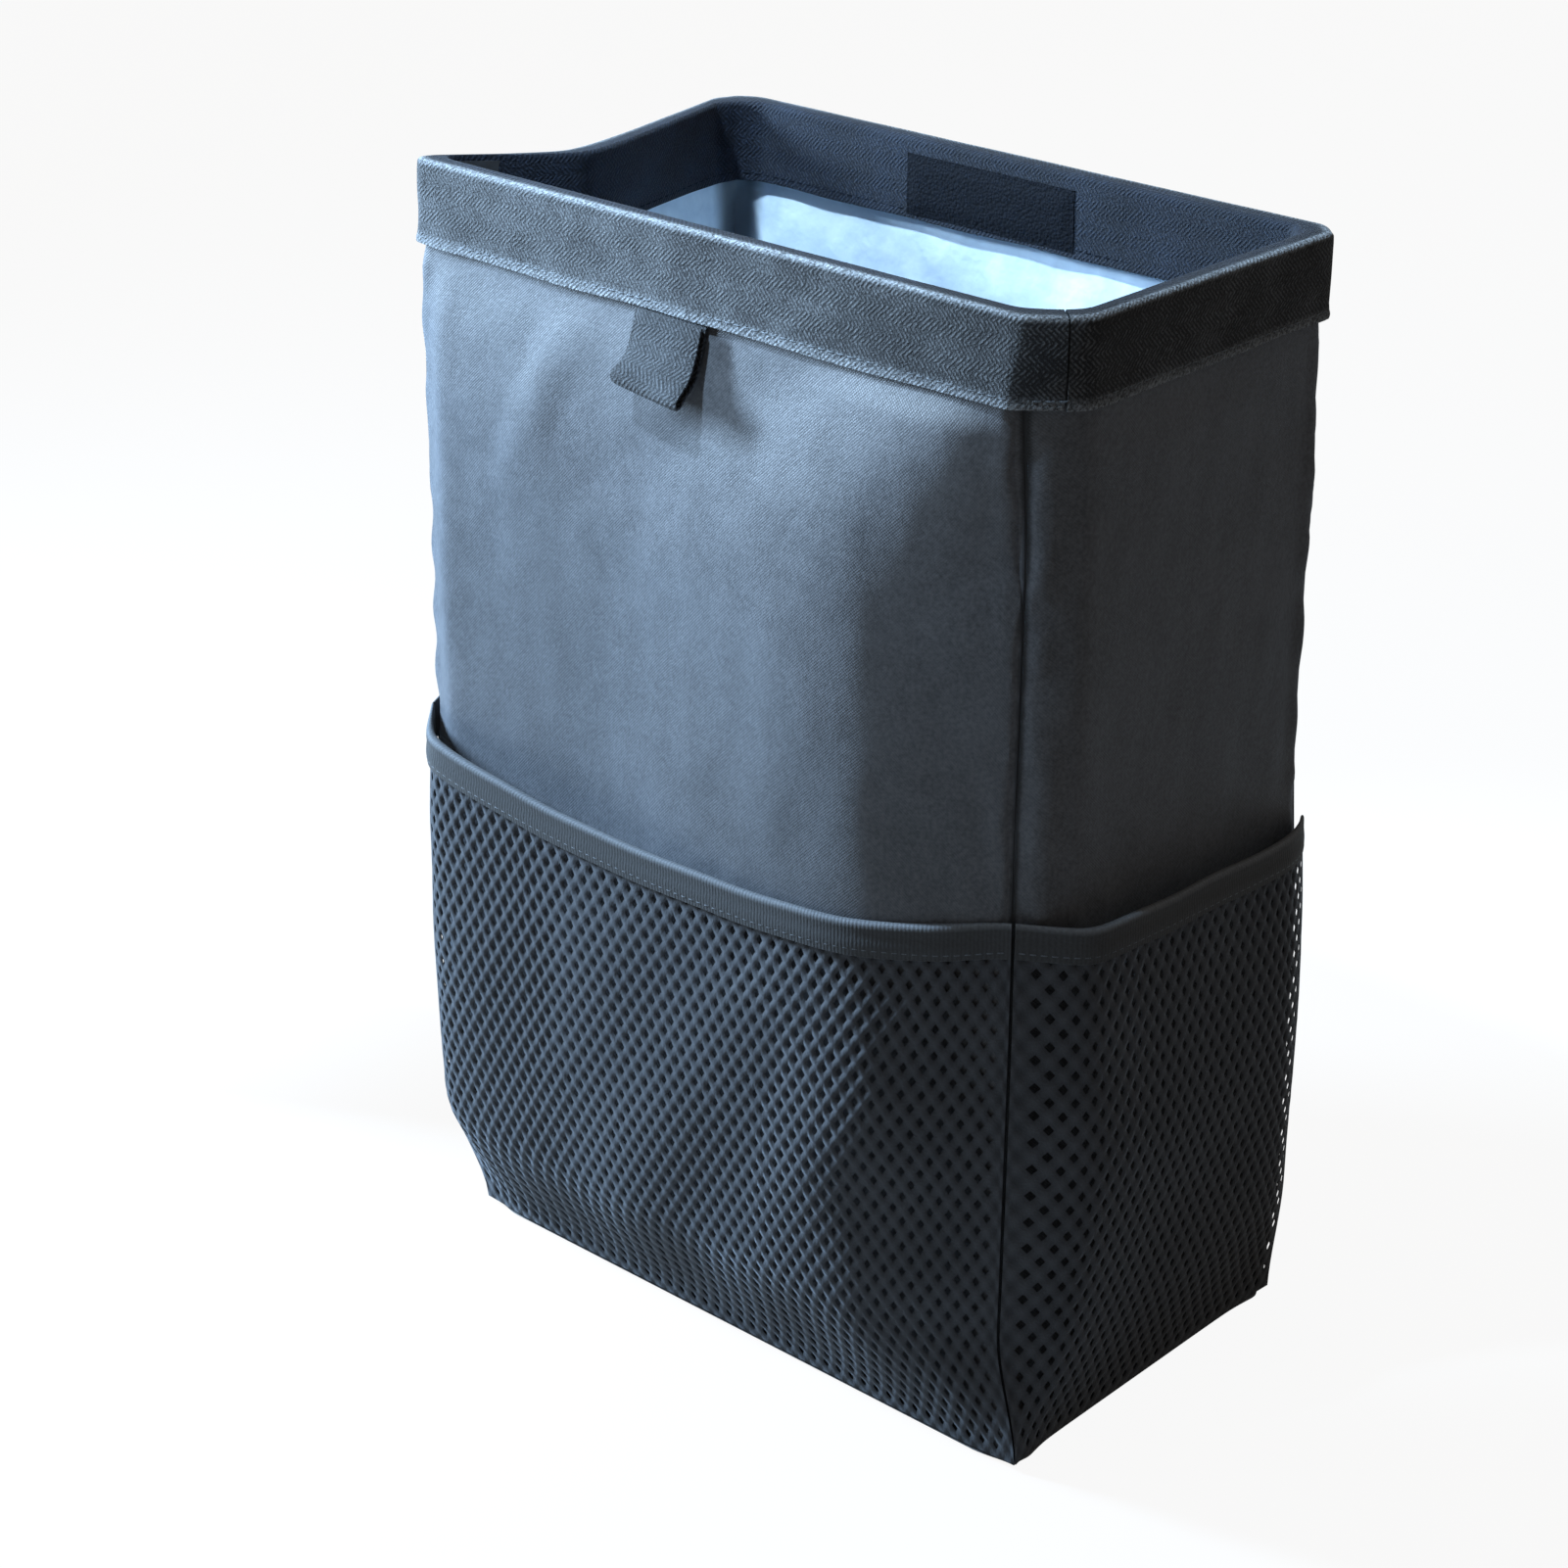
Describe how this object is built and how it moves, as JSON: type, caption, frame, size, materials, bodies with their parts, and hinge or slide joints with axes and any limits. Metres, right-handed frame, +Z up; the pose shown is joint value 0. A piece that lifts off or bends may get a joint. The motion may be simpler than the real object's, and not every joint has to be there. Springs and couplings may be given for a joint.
{
  "type": "car trash bin",
  "caption": "Open-topped soft car trash bin with a webbing hem, pale wipe-clean liner, mesh pockets on the front and sides, and a pull tab.",
  "frame": {"origin": "middle of the flat face the bin rests on", "axes": "+Z up, out of the mouth; -Y towards the broad front with the pull tab; +X towards the right side as seen from the front"},
  "size_m": [0.2515, 0.1455, 0.327],
  "materials": {
    "outer_cloth": "matte woven cloth",
    "board": "matte",
    "liner_film": "satin coated cloth",
    "webbing": "herringbone webbing",
    "closure": "hook and loop tape",
    "mesh": "open knitted mesh",
    "binding": "ribbed tape"
  },
  "bodies": {
    "root": {"front_panel": "outer_cloth", "back_panel": "outer_cloth", "left_side_panel": "outer_cloth", "right_side_panel": "outer_cloth", "bottom_panel": "outer_cloth", "base_board": "board", "liner": "liner_film", "rim_frame": "board", "hem_webbing": "webbing", "pull_tab": "webbing", "closure_loop_strip": "closure", "closure_hook_strip": "closure", "front_mesh_pocket": "mesh", "left_mesh_pocket": "mesh", "right_mesh_pocket": "mesh", "front_pocket_binding": "binding", "left_pocket_binding": "binding", "right_pocket_binding": "binding", "front_left_seam_tape": "binding", "front_right_seam_tape": "binding", "back_left_seam_tape": "binding", "back_right_seam_tape": "binding", "bottom_seam_tape": "binding"}
  },
  "joints": []
}
